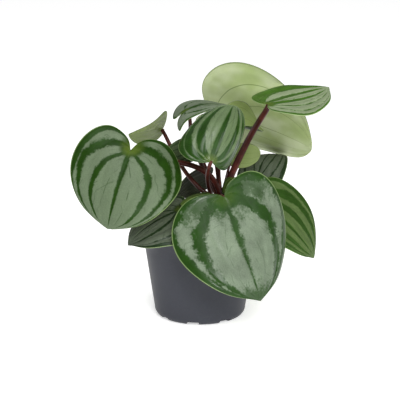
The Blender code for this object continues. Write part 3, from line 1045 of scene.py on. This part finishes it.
LEAVES = (
    LeafForm(
        "leaf_front", (0.018, -0.047, 0.105), -51, -58, 18, 0.078, 0.102, 0.013, 0.004, 0.06,
        point=0.0035, cup=(6, 9), droop=5, curl=8, twist=-25, bend=0.02, wave=0.0008, puff=0.0008,
        petiole=0.0022, base=0.080, rise=0.016, spread=1.0, reach=0.012, lean=0.6, upper=Upper.BROAD,
        detail=Detail.BIG,
    ),
    LeafForm(
        "leaf_left", (-0.0530, -0.018, 0.134), -111, -38, -18, 0.063, 0.087, 0.023, 0.003, 0.03,
        point=0.0015, cup=(7, 3), droop=32, curl=8, twist=25, bend=0.04, wave=0.0006, puff=0.0007,
        petiole=0.0023, base=0.088, rise=0.055, spread=0.4, swing=62, reach=0.029, lean=0.9,
        detail=Detail.BIG,
    ),
    LeafForm(
        "leaf_middle", (0.0087, -0.034, 0.1303), 54, 54, 45, 0.0555, 0.056, 0.0055, 0.0014, 0.20,
        cup=(20, 36), droop=36, curl=-4, back=32, twist=-16, bend=-0.05, puff=0.0010, petiole=0.0019,
        base=0.080, rise=0.026, spread=0.7, swing=-45, reach=0.012, lean=0.3, upper=Upper.PUFFED,
        detail=Detail.BIG,
    ),
    LeafForm(
        "leaf_high_left", (-0.0101, 0.012, 0.160), 5, 25, 8, 0.031, 0.029, 0.0165, -0.0025, 0.18,
        cup=(-5, 26), droop=43, curl=-13, back=80, twist=-16, puff=0.0004, petiole=0.0018, base=0.088,
        rise=0.069, spread=0.6, swing=-13, reach=0.018, lean=1, upper=Upper.SILVERED,
    ),
    LeafForm(
        "leaf_high_right", (0.0210, 0.022, 0.153), 30, -36, -145, 0.031, 0.042, 0.004, point=0.001,
        cup=(25, 60), droop=45, curl=-6, twist=-23, bend=0.14, petiole=0.0014, base=0.088, rise=0.004,
        spread=0, swing=-75, reach=0.015, lean=0, under=Under.OLIVE, rim=Rim.DARK,
    ),
    LeafForm(
        "leaf_top", (0.013, 0.0615, 0.1487), -12, -10, -49, 0.082, 0.100, 0.0175, 0.003, -0.20,
        cup=(-3, -3), droop=7, curl=4, back=-30, bend=0.12, wave=0.0006, puff=0.0005, petiole=0.0020,
        rise=0.045, reach=0.020, lean=0.8, rim=Rim.DARK, detail=Detail.BIG,
    ),
    LeafForm(
        "leaf_upper_right", (0.0518, -0.020, 0.1702), 16, 2, 4, 0.050, 0.069, 0.007, 0.002, 0.01,
        point=0.0025, cup=(-2, 0), droop=-2, curl=-25, twist=4, bend=0.15, wave=0.0008, puff=0.0007,
        petiole=0.0028, base=0.088, rise=0.064, spread=0.6, swing=84, reach=0.010, lean=0.7,
        upper=Upper.LACED, detail=Detail.BIG,
    ),
    LeafForm(
        "leaf_lower_right", (0.0435, 0.008, 0.093), -35, -32, 17, 0.065, 0.067, 0.010, 0.0, 0.13,
        point=0.003, cup=(0, 5), droop=19, curl=21, twist=-25, bend=0.12, wave=0.0006, puff=0.0007,
        petiole=0.0018, base=0.076, rise=0.012, spread=1.0, reach=0.010, lean=0.5, upper=Upper.OLIVE,
        detail=Detail.BIG,
    ),
    LeafForm(
        "leaf_small_right", (0.027, 0.026, 0.122), 5, 6, -80, 0.021, 0.021, 0.006, 0.0, 0.12,
        petiole=0.0012, rise=0.014, reach=0.008, under=Under.OLIVE, rim=Rim.DARK,
    ),
    LeafForm(
        "leaf_back_right", (0.0455, 0.038, 0.0935), 75, 62, -12, 0.050, 0.042, 0.008, cup=(9, 9),
        droop=72, curl=20, puff=0.0005, petiole=0.0016, base=0.072, rise=0.006, spread=2.0, reach=0.008,
        lean=0.4, upper=Upper.SHADED,
    ),
    LeafForm(
        "leaf_lower_left", (-0.015, -0.020, 0.0885), -148, -11, -20, 0.048, 0.062, 0.010, -0.003, 0.08,
        point=0.0025, cup=(7, 11), droop=26, curl=14, twist=22, wave=0.0008, puff=0.0007, petiole=0.0018,
        base=0.076, rise=0.008, spread=1.0, reach=0.010, lean=0.5, upper=Upper.SHADED, detail=Detail.BIG,
    ),
    LeafForm(
        "leaf_back_left", (-0.0307, 0.040, 0.1392), 240, -15, 62, 0.041, 0.033, 0.007, -0.001, 0.35,
        point=0.001, cup=(-5, 0), droop=-17, curl=-20, back=-34, twist=-26, bend=0.25, puff=0.0004,
        petiole=0.0019, base=0.088, rise=0.035, spread=2.2, swing=46, reach=0.005, lean=0.9,
        under=Under.OLIVE, rim=Rim.DARK,
    ),
    LeafForm(
        "leaf_small_left", (-0.003, 0.0045, 0.1295), 190, -15, -65, 0.026, 0.020, 0.005, 0.0, -0.30,
        cup=(8, 8), droop=20, petiole=0.0012, rise=0.020, reach=0.010, upper=Upper.DARK, rim=Rim.DARK,
    ),
    LeafForm(
        "leaf_young", (0.025, -0.002, 0.109), -95, -20, 0, 0.018, 0.021, 0.004, cup=(80, 80), droop=20,
        petiole=0.0010, rise=0.008, reach=0.004, upper=Upper.YOUNG,
    ),
    LeafForm(
        "leaf_small_front", (0.004, -0.024, 0.1005), 190, -8, -10, 0.020, 0.020, 0.005, cup=(15, 15),
        droop=20, petiole=0.0010, base=0.083, rise=0.006, reach=0.005, upper=Upper.YOUNG,
    ),
    LeafForm(
        "leaf_shaded", (0.007, 0.038, 0.101), 190, -20, 50, 0.030, 0.034, 0.006, 0.0, 0.20, cup=(7, 7),
        droop=20, puff=0.0005, petiole=0.0013, rise=0.006, spread=2.0, reach=0.008, lean=0.9,
        under=Under.DIM, upper=Upper.DARK,
    ),
    LeafForm(
        "leaf_back", (0.010, 0.050, 0.080), 100, -38, 0, 0.050, 0.056, 0.011, cup=(7, 7), droop=26,
        puff=0.0006, petiole=0.0016, base=0.070, rise=0.004, spread=2.0, reach=0.012, lean=0.5,
    ),
)


@dataclass
class LeafBlade:
    """The fleshy blade of one leaf."""

    form: LeafForm
    edge_share: float = 0.45
    edge_width: float = 0.10
    piece: bpy.types.Object | None = field(default=None, init=False)

    def sheet(self) -> np.ndarray:
        """Models the blade as a thin sheet.

        Returns:
            How near each point is to the edge, 1 on the edge.
        """
        deselect()
        wide, long = self.form.detail.value
        bpy.ops.mesh.primitive_grid_add(x_subdivisions=wide, y_subdivisions=long, size=2)
        self.piece = bpy.context.object
        self.piece.name = self.form.node + "_blade"
        mesh = self.piece.data
        flat = np.empty(len(mesh.vertices) * 3)
        mesh.vertices.foreach_get("co", flat)
        flat = flat.reshape(-1, 3)
        along = np.clip((flat[:, 1] + 1) / 2, 0, 1) ** CROWD
        across = np.where((along > 0.9999) | (along < 0.0001), 0.0, -flat[:, 0])
        mesh.vertices.foreach_set("co", self.form.points(across, along).ravel())
        mesh.update()
        return np.maximum(np.abs(flat[:, 0]), np.where(along > 0.97, 1.0, 0.0))

    def thicken(self, edge: np.ndarray) -> None:
        """Gives the sheet its thickness, thinner towards the edge.

        Args:
            edge: How near each point is to the edge.
        """
        group = self.piece.vertex_groups.new(name="flesh")
        for index, near in enumerate(edge):
            rise = min(1.0, max(0.0, (1 - float(near)) / self.edge_width))
            group.add([index], self.edge_share + (1 - self.edge_share) * rise, "REPLACE")
        focus(self.piece)
        with shaping():
            bpy.ops.mesh.remove_doubles(threshold=WELD / 4)
        thick = self.piece.modifiers.new("flesh", "SOLIDIFY")
        thick.thickness = BLADE
        thick.offset = 0
        thick.vertex_group = "flesh"
        thick.material_offset = 1
        thick.material_offset_rim = 2
        apply_all(self.piece)

    def build(self) -> bpy.types.Object:
        """Models and coats the blade.

        Returns:
            The finished blade.
        """
        edge = self.sheet()
        dress(self.piece, self.form.upper.value, self.form.under.value, self.form.rim.value)
        self.thicken(edge)
        bpy.ops.object.shade_smooth()
        settle(self.piece)
        return hand_over(self.piece, self.form.node)


# ---------------------------------------------------------------- stalks
@dataclass
class Crown:
    """The short upright stem and every leaf stalk, grown together."""

    leaves: tuple[LeafForm, ...]
    radius: float = 0.0040
    root: float = 0.046
    soil_top: float = 0.062

    def stem(self) -> bpy.types.Object:
        """The upright stem with its scarred nodes.

        Returns:
            The stem.
        """
        top = CROWN_TOP
        heights = (
            (0.0, self.root), (0.8, self.root), (1.15, self.soil_top - 0.008), (1.3, self.soil_top - 0.004),
            (1.28, self.soil_top + 0.001), (1.15, self.soil_top + 0.006), (1.12, top - 0.019),
            (1.2, top - 0.017), (1.04, top - 0.015), (1.0, top - 0.010), (1.12, top - 0.008),
            (1.02, top - 0.006), (1.05, top - 0.002),
            (0.95, top - 0.0004), (0.6, top + 0.0008), (0.0, top + 0.001),
        )
        profile = [(self.radius * girth, height) for girth, height in heights]
        piece = lathe("stem", profile, CROWN, 24)
        bpy.ops.object.shade_smooth()
        return piece

    def stalk(self, leaf: LeafForm) -> bpy.types.Object:
        """The stalk of one leaf, from inside the stem into the underside of the blade.

        Args:
            leaf: The leaf.

        Returns:
            The stalk.
        """
        tip, _, up = leaf.axes()
        arrive = tip * (1 - leaf.lean) + up * leaf.lean
        arrive = arrive / np.linalg.norm(arrive)
        end = np.array(leaf.place) - up * BLADE * 0.15
        start = np.array((*CROWN, leaf.base))
        outward = end - start
        outward[2] = 0
        outward = outward / (np.linalg.norm(outward) + 1e-6)
        turn = math.radians(leaf.swing)
        outward = outward * math.cos(turn) + np.array((-outward[1], outward[0], 0.0)) * math.sin(turn)
        climb = np.array((0, 0, 1)) + leaf.spread * outward
        climb = climb / np.linalg.norm(climb)
        ends = (start, start + climb * leaf.rise, end - arrive * leaf.reach, end)
        radii = (leaf.petiole, leaf.petiole * STALK_TAPER)
        return tube("stalk", tuple(tuple(float(c) for c in point) for point in ends), radii)

    def bud(self) -> bpy.types.Object:
        """The pointed pale bud at the top of the stem.

        Returns:
            The bud.
        """
        deselect()
        bpy.ops.mesh.primitive_uv_sphere_add(segments=20, ring_count=14, radius=0.0016)
        piece = bpy.context.object
        with shaping():
            bpy.ops.transform.resize(value=(1.0, 0.8, 2.2))
        mesh = piece.data
        for vertex in mesh.vertices:
            lift = vertex.co.z / 0.0035
            if lift > 0:
                pinch = 1 - 0.75 * lift ** 1.5
                vertex.co.x *= pinch
                vertex.co.y *= pinch
        bpy.ops.transform.translate(value=(CROWN[0] - 0.0005, CROWN[1] - 0.0015, CROWN_TOP + 0.0016))
        bpy.ops.object.shade_smooth()
        settle(piece)
        dress(piece, BUD)
        return piece

    def build(self) -> bpy.types.Object:
        """Models, joins and coats the stalks.

        Returns:
            The finished piece.
        """
        pieces = [self.stem()] + [self.stalk(leaf) for leaf in self.leaves]
        for piece in pieces:
            dress(piece, STALK)
        whole = join([*pieces, self.bud()], "stalks")
        settle(whole)
        return hand_over(whole, "stems")


# ---------------------------------------------------------------- pot and soil
@dataclass
class Pot:
    """Round nursery pot with a turned-out lip, a recessed floor, drain holes and gates in its foot."""

    height: float = 0.070
    foot_radius: float = 0.0305
    foot_width: float = 0.0035
    floor_rise: float = 0.0025
    corner_radius: float = 0.0359
    corner_height: float = 0.0065
    slope: float = 0.148
    wall: float = 0.0011
    lip_depth: float = 0.0045
    lip_reach: float = 0.0016
    holes: int = 6
    hole_radius: float = 0.0035
    hole_circle: float = 0.019
    gates: int = 8
    gate_width: float = 0.010
    gate_height: float = 0.0028
    gate_inner: float = 0.0262
    gate_outer: float = 0.0375
    gate_turn: float = math.radians(-100)
    steps: int = 144

    def outer(self, height: float) -> float:
        """Outer radius of the wall at a height."""
        return self.corner_radius + self.slope * (height - self.corner_height)

    def inner(self, height: float) -> float:
        """Inner radius of the wall at a height."""
        return self.outer(height) - self.wall / math.cos(math.atan(self.slope))

    def profile(self) -> list[Flat]:
        """Outline of the section, from the middle of the underside round to the middle of the floor.

        Returns:
            Its points as radius and height.
        """
        foot_in = self.foot_radius - self.foot_width
        rise = self.floor_rise
        points = [(0.0, rise), (foot_in - 0.0010, rise), (foot_in - 0.0004, rise - 0.0004)]
        points += [(foot_in, 0.0004), (foot_in + 0.0004, 0.0), (self.foot_radius - 0.0006, 0.0)]
        for k in range(1, 11):
            turn = math.radians(90) * k / 10
            points.append((
                self.foot_radius + (self.corner_radius - self.foot_radius) * math.sin(turn),
                0.0001 + (self.corner_height - 0.0001) * (1 - math.cos(turn)),
            ))
        low = self.height - self.lip_depth
        for share in (0.2, 0.4, 0.6, 0.8):
            z = self.corner_height + (low - self.corner_height) * share
            points.append((self.outer(z), z))
        top = self.outer(self.height)
        edge = top + self.lip_reach
        points += [(self.outer(low) - 0.0001, low - 0.0003), (self.outer(low) + 0.0002, low)]
        points += [(edge - 0.0005, low + 0.0010), (edge - 0.0001, low + 0.0016), (edge, low + 0.0024)]
        points += [(edge, self.height - 0.0009), (edge - 0.0003, self.height - 0.0003)]
        points.append((edge - 0.0009, self.height))
        points += [(top - self.wall * 0.5, self.height), (top - self.wall * 0.85, self.height - 0.0002)]
        points.append((self.inner(self.height - 0.001), self.height - 0.001))
        for share in (0.75, 0.5, 0.25):
            z = self.corner_height + (self.height - self.corner_height) * share
            points.append((self.inner(z), z))
        floor = self.floor_rise + self.wall
        points.append((self.inner(self.corner_height) - 0.0003, self.corner_height))
        for out, up in ((0.0024, 0.0016), (-0.0002, 0.0004), (-0.0030, 0.0)):
            points.append((self.foot_radius + out, floor + up))
        points.append((0.0, floor))
        return points

    def cutter(self) -> bpy.types.Object:
        """Round pegs for the drain holes and blocks for the gates, in one mesh.

        Returns:
            The cutting piece.
        """
        pegs = []
        for k in range(self.holes):
            turn = 2 * math.pi * (k + 0.5) / self.holes
            deselect()
            bpy.ops.mesh.primitive_cylinder_add(
                vertices=32, radius=self.hole_radius, depth=5 * self.wall,
                location=(
                    self.hole_circle * math.cos(turn), self.hole_circle * math.sin(turn), self.floor_rise,
                ),
            )
            pegs.append(bpy.context.object)
        reach = (self.gate_inner + self.gate_outer) / 2
        for k in range(self.gates):
            turn = self.gate_turn + 2 * math.pi * k / self.gates
            deselect()
            bpy.ops.mesh.primitive_cube_add(
                size=1, location=(reach * math.cos(turn), reach * math.sin(turn), 0), rotation=(0, 0, turn),
                scale=(self.gate_outer - self.gate_inner, self.gate_width, 2 * self.gate_height),
            )
            pegs.append(bpy.context.object)
        whole = join(pegs, "drain_pegs")
        settle(whole)
        return whole

    def build(self) -> bpy.types.Object:
        """Models and coats the pot.

        Returns:
            The finished pot.
        """
        piece = lathe("pot_shell", self.profile(), (0, 0), self.steps)
        pegs = self.cutter()
        cut = piece.modifiers.new("drainage", "BOOLEAN")
        cut.operation = "DIFFERENCE"
        cut.solver = "EXACT"
        cut.object = pegs
        apply_all(piece)
        bpy.data.objects.remove(pegs, do_unlink=True)
        focus(piece)
        bpy.ops.object.shade_smooth_by_angle(angle=math.radians(38))
        dress(piece, POT_PLASTIC)
        return hand_over(piece, "pot")


@dataclass
class Soil:
    """Potting soil with a crumbly top."""

    pot: Pot
    top: float = 0.062
    lump: float = 0.0012
    crumbs: int = 240
    clearance: float = 0.0010
    base_gap: float = 0.0007
    base_inset: float = 0.0058
    side_rise: float = 0.0018
    crumb_inset: float = 0.0035
    crumb_sizes: Flat = (0.0004, 0.0013)
    rings: int = 34
    steps: int = 120
    seed: int = 11

    def surface(self, x: float, y: float) -> float:
        """Height of the lumpy top.

        Args:
            x: Distance to the right of the axis.
            y: Distance behind the axis.

        Returns:
            The height.
        """
        swell = math.sin(260 * x + 1.3) * math.cos(230 * y) + 0.5 * math.sin(610 * x - 420 * y)
        fine = 0.18 * math.sin(1700 * x + 3.0) * math.sin(1500 * y) + 0.12 * math.sin(2900 * x - 2300 * y)
        return self.top + self.lump * (swell + fine) * 0.9

    def plug(self) -> bpy.types.Object:
        """The body of soil that fills the pot.

        Returns:
            The body.
        """
        rim = self.pot.inner(self.top) - self.clearance
        low = self.pot.corner_height + self.side_rise
        foot = self.pot.floor_rise + self.pot.wall + self.base_gap
        side = self.pot.inner(low) - self.clearance
        profile = [(0.0, foot), (self.pot.foot_radius - self.base_inset, foot), (side, low)]
        profile += [(rim * (1 - k / self.rings), self.top) for k in range(self.rings + 1)]
        piece = lathe("soil_body", profile, (0, 0), self.steps)
        for vertex in piece.data.vertices:
            if vertex.co.z > self.top - 0.0001:
                vertex.co.z = self.surface(vertex.co.x, vertex.co.y)
        bpy.ops.object.shade_smooth()
        return piece

    def crumb(self, chance: random.Random) -> bpy.types.Object:
        """One crumb of soil.

        Args:
            chance: Source of its place, size and turn.

        Returns:
            The crumb.
        """
        size = chance.uniform(*self.crumb_sizes)
        reach = (self.pot.inner(self.top) - self.crumb_inset) * math.sqrt(chance.random())
        turn = chance.uniform(0, 2 * math.pi)
        x, y = reach * math.cos(turn), reach * math.sin(turn)
        deselect()
        bpy.ops.mesh.primitive_ico_sphere_add(
            subdivisions=2, radius=size, location=(x, y, self.surface(x, y) + size * 0.2),
            rotation=(chance.uniform(0, 3), chance.uniform(0, 3), chance.uniform(0, 3)),
        )
        piece = bpy.context.object
        with shaping():
            bpy.ops.transform.vertex_random(offset=size * 0.22, seed=chance.randint(0, 9999))
            bpy.ops.transform.resize(value=(1, chance.uniform(0.6, 1), chance.uniform(0.5, 0.9)))
        return piece

    def build(self) -> bpy.types.Object:
        """Models and coats the soil.

        Returns:
            The finished soil.
        """
        chance = random.Random(self.seed)
        pieces = [self.plug()] + [self.crumb(chance) for _ in range(self.crumbs)]
        whole = join(pieces, "soil_mix")
        settle(whole)
        dress(whole, SOIL)
        return hand_over(whole, "soil")


# ---------------------------------------------------------------- studio
@dataclass(frozen=True)
class Lamp:
    """A square soft lamp aimed at the plant: its place, the width of its face and its power in watts."""

    name: str
    place: Point
    size: float
    power: float


@dataclass
class Studio:
    """Plain white floor and surroundings, soft light and the camera."""

    distance: float = 1.1
    elevation: float = math.radians(14)
    target: float = 0.0915
    lens: float = 127.17
    ambient: float = 0.50
    mirrored: float = 0.15
    floor_size: float = 6.0
    floor_white: float = 0.93
    floor_glow: float = 0.52
    aim: Point = (0, 0, 0.08)
    lamps: tuple[Lamp, ...] = (
        Lamp("key", (0.16, -1.00, 0.62), 0.3, 8.0),
        Lamp("top", (-0.10, -0.35, 1.25), 0.6, 6.0),
        Lamp("fill", (0.9, -0.5, 0.5), 0.8, 3.3),
    )

    def surroundings(self) -> None:
        """Sets a plain white backdrop that lights the plant softly and shows only weakly in reflections."""
        world = bpy.data.worlds.new("studio")
        world.use_nodes = True
        w = Wiring(world.node_tree)
        light = world.node_tree.nodes["Background"]
        light.inputs["Color"].default_value = (1, 1, 1, 1)
        rays = w.node("ShaderNodeLightPath").outputs
        seen = w.mul(rays["Is Camera Ray"], 1 - self.ambient)
        reflected = w.mul(rays["Is Glossy Ray"], self.ambient - self.mirrored)
        w.feed(light.inputs["Strength"], w.add(w.sub(seen, reflected), self.ambient))
        bpy.context.scene.world = world
        bpy.context.scene.view_settings.view_transform = "Standard"

    def floor(self) -> None:
        """The white floor that the pot stands on."""
        deselect()
        bpy.ops.mesh.primitive_plane_add(size=self.floor_size, location=(0, 0, 0))
        ground = bpy.context.object
        ground.name = "studio_floor"
        made, _, shader = start_material("studio white", 0.9)
        shader.inputs["Base Color"].default_value = (*[self.floor_white] * 3, 1)
        shader.inputs["Emission Color"].default_value = (1, 1, 1, 1)
        shader.inputs["Emission Strength"].default_value = self.floor_glow
        ground.data.materials.append(made)

    def hang(self, lamp: Lamp) -> None:
        """Hangs a lamp and aims it.

        Args:
            lamp: The lamp.
        """
        deselect()
        bpy.ops.object.light_add(type="AREA", location=lamp.place)
        made = bpy.context.object
        made.name = lamp.name
        made.data.size = lamp.size
        made.data.energy = lamp.power
        made.rotation_euler = (Vector(self.aim) - Vector(lamp.place)).to_track_quat("-Z", "Y").to_euler()

    def camera(self) -> None:
        """The camera, looking slightly down on the front of the pot."""
        back = self.distance * math.cos(self.elevation)
        up = self.target + self.distance * math.sin(self.elevation)
        deselect()
        tilt = math.radians(90) - self.elevation
        bpy.ops.object.camera_add(location=(0, -back, up), rotation=(tilt, 0, 0))
        made = bpy.context.object
        made.data.lens = self.lens
        made.data.sensor_width = 36.0
        bpy.context.scene.camera = made

    def build(self) -> None:
        """Sets up the whole studio."""
        self.surroundings()
        self.floor()
        for lamp in self.lamps:
            self.hang(lamp)
        self.camera()


def main() -> None:
    """Builds every piece in order and sets up the studio."""
    logging.basicConfig(level=logging.INFO, format="%(message)s")
    build_groups()
    pot = Pot()
    pot.build()
    Soil(pot).build()
    Crown(LEAVES).build()
    for form in LEAVES:
        LeafBlade(form).build()
    Studio().build()


if __name__ == "__main__":
    main()
